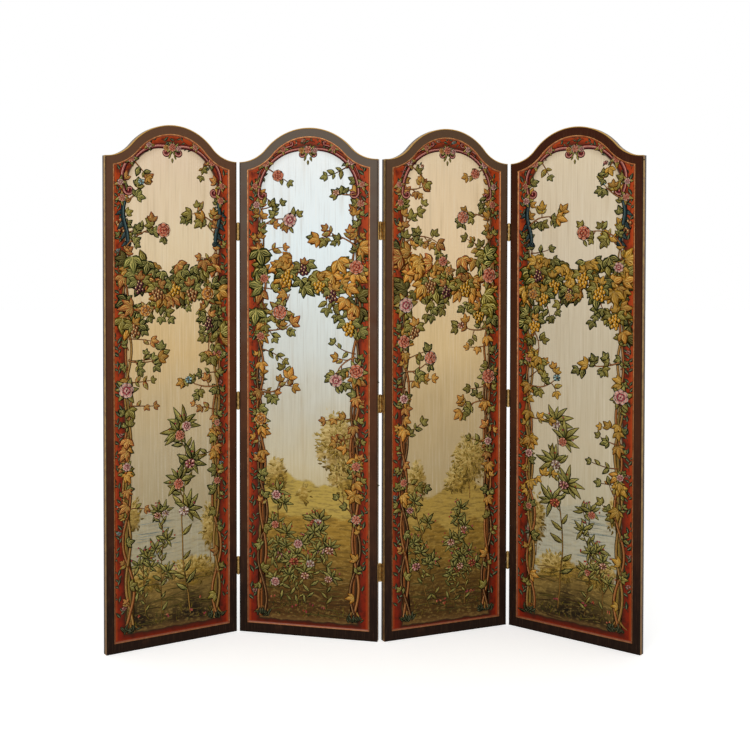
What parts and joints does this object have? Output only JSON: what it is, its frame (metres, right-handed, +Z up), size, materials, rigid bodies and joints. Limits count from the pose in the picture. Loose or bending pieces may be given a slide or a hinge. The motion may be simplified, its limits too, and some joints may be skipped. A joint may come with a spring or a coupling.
{
  "type": "folding screen",
  "caption": "Freestanding folding room screen of hinged, arch-topped panels: brown frames with gilt slips and edges around painted boards, joined by brass butt hinges.",
  "frame": {"origin": "on the floor under the middle of the standing screen's bounding box", "axes": "+X along the run of panels from the first to the fourth, +Y from the painted fronts to the backs, +Z up"},
  "size_m": [1.8576, 0.3598, 1.829],
  "materials": {
    "brown_frame": "satin brown paint, worn lighter towards the top, with gilt along the front part of the outer edges",
    "bare_wood": "bare sawn softwood",
    "painting": "hand-painted board under a satin varnish",
    "back_paint": "plain dark brown paint",
    "gilding": "warm gilt paint",
    "brass": "polished brass",
    "screws": "brass-plated"
  },
  "bodies": {
    "panel_1": {"panel_1_left_stile": "brown_frame", "panel_1_right_stile": "brown_frame", "panel_1_top_rail": "brown_frame", "panel_1_bottom_rail": "brown_frame", "panel_1_cross_rails": "bare_wood", "panel_1_painted_board": "painting", "panel_1_back_board": "back_paint", "panel_1_gilt_slip": "gilding", "panel_1_hinge_screws": "screws", "hinge_12_bottom_left_leaf": "brass", "hinge_12_middle_left_leaf": "brass", "hinge_12_top_left_leaf": "brass", "hinge_12_pins": "brass"},
    "panel_2": {"panel_2_left_stile": "brown_frame", "panel_2_right_stile": "brown_frame", "panel_2_top_rail": "brown_frame", "panel_2_bottom_rail": "brown_frame", "panel_2_cross_rails": "bare_wood", "panel_2_painted_board": "painting", "panel_2_back_board": "back_paint", "panel_2_gilt_slip": "gilding", "panel_2_hinge_screws": "screws", "hinge_12_bottom_right_leaf": "brass", "hinge_12_middle_right_leaf": "brass", "hinge_12_top_right_leaf": "brass", "hinge_23_bottom_left_leaf": "brass", "hinge_23_middle_left_leaf": "brass", "hinge_23_top_left_leaf": "brass", "hinge_23_pins": "brass"},
    "panel_3": {"panel_3_left_stile": "brown_frame", "panel_3_right_stile": "brown_frame", "panel_3_top_rail": "brown_frame", "panel_3_bottom_rail": "brown_frame", "panel_3_cross_rails": "bare_wood", "panel_3_painted_board": "painting", "panel_3_back_board": "back_paint", "panel_3_gilt_slip": "gilding", "panel_3_hinge_screws": "screws", "hinge_23_bottom_right_leaf": "brass", "hinge_23_middle_right_leaf": "brass", "hinge_23_top_right_leaf": "brass", "hinge_34_bottom_left_leaf": "brass", "hinge_34_middle_left_leaf": "brass", "hinge_34_top_left_leaf": "brass", "hinge_34_pins": "brass"},
    "panel_4": {"panel_4_left_stile": "brown_frame", "panel_4_right_stile": "brown_frame", "panel_4_top_rail": "brown_frame", "panel_4_bottom_rail": "brown_frame", "panel_4_cross_rails": "bare_wood", "panel_4_painted_board": "painting", "panel_4_back_board": "back_paint", "panel_4_gilt_slip": "gilding", "panel_4_hinge_screws": "screws", "hinge_34_bottom_right_leaf": "brass", "hinge_34_middle_right_leaf": "brass", "hinge_34_top_right_leaf": "brass"}
  },
  "joints": [
    {"name": "fold_12", "type": "hinge", "parent": "panel_2", "child": "panel_1", "pos_m": [-0.47504, 0.08151, 0], "axis": [0, 0, 1], "range_deg": [-45, 135]},
    {"name": "fold_23", "type": "hinge", "parent": "panel_2", "child": "panel_3", "pos_m": [0.0341, -0.01348, 0], "axis": [0, 0, 1], "range_deg": [-36.5, 143.5]},
    {"name": "fold_34", "type": "hinge", "parent": "panel_3", "child": "panel_4", "pos_m": [0.52361, 0.15573, 0], "axis": [0, 0, 1], "range_deg": [-116.5, 63.5]}
  ]
}
